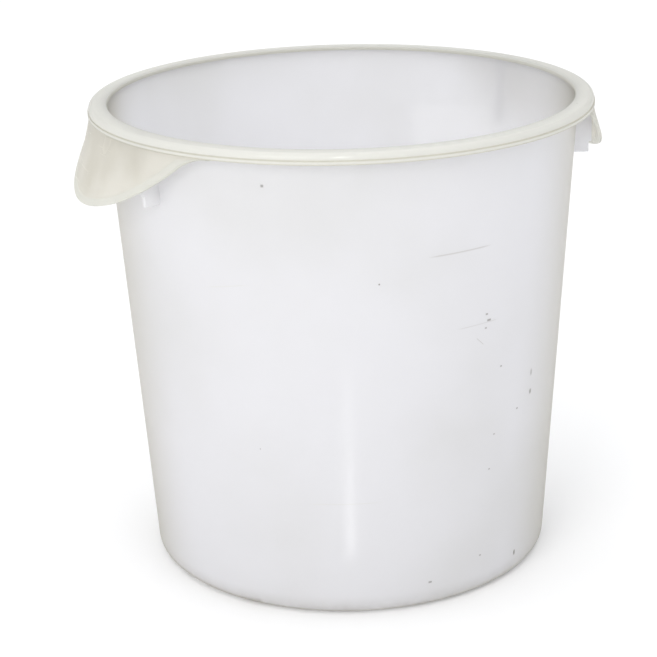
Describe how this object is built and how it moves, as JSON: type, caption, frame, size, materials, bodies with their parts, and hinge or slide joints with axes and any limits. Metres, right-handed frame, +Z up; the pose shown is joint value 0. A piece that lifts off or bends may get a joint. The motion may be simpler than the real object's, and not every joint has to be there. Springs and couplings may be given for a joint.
{
  "type": "dough proofing container",
  "caption": "Round tapered storage tub in milky plastic, with a turned-down rim and flared moulded grips, open at the top, of the kind used for proofing dough.",
  "frame": {"origin": "middle of the underside, on the plane of the table", "axes": "+Z up along the tub's axis, +X from the axis towards the middle of one grip, +Y square to both, towards the side of the tub between the grips that faces away from the picture's viewer"},
  "size_m": [0.3564, 0.328, 0.31],
  "materials": {
    "tub_milky": "satin, milky translucent, natural polyethylene",
    "rim_cream": "satin, thicker and so less translucent",
    "grip_frosted": "satin, thin and more translucent"
  },
  "bodies": {
    "root": {"side_wall": "tub_milky", "base_corner": "tub_milky", "floor_panel": "tub_milky", "foot_ring": "tub_milky", "gate_nub": "tub_milky", "rim_top": "rim_cream", "rim_band": "rim_cream", "grip_left": "grip_frosted", "grip_right": "grip_frosted", "grip_edge_left": "grip_frosted", "grip_edge_right": "grip_frosted", "lug_left_front": "grip_frosted", "lug_left_rear": "grip_frosted", "lug_right_front": "grip_frosted", "lug_right_rear": "grip_frosted"}
  },
  "joints": []
}
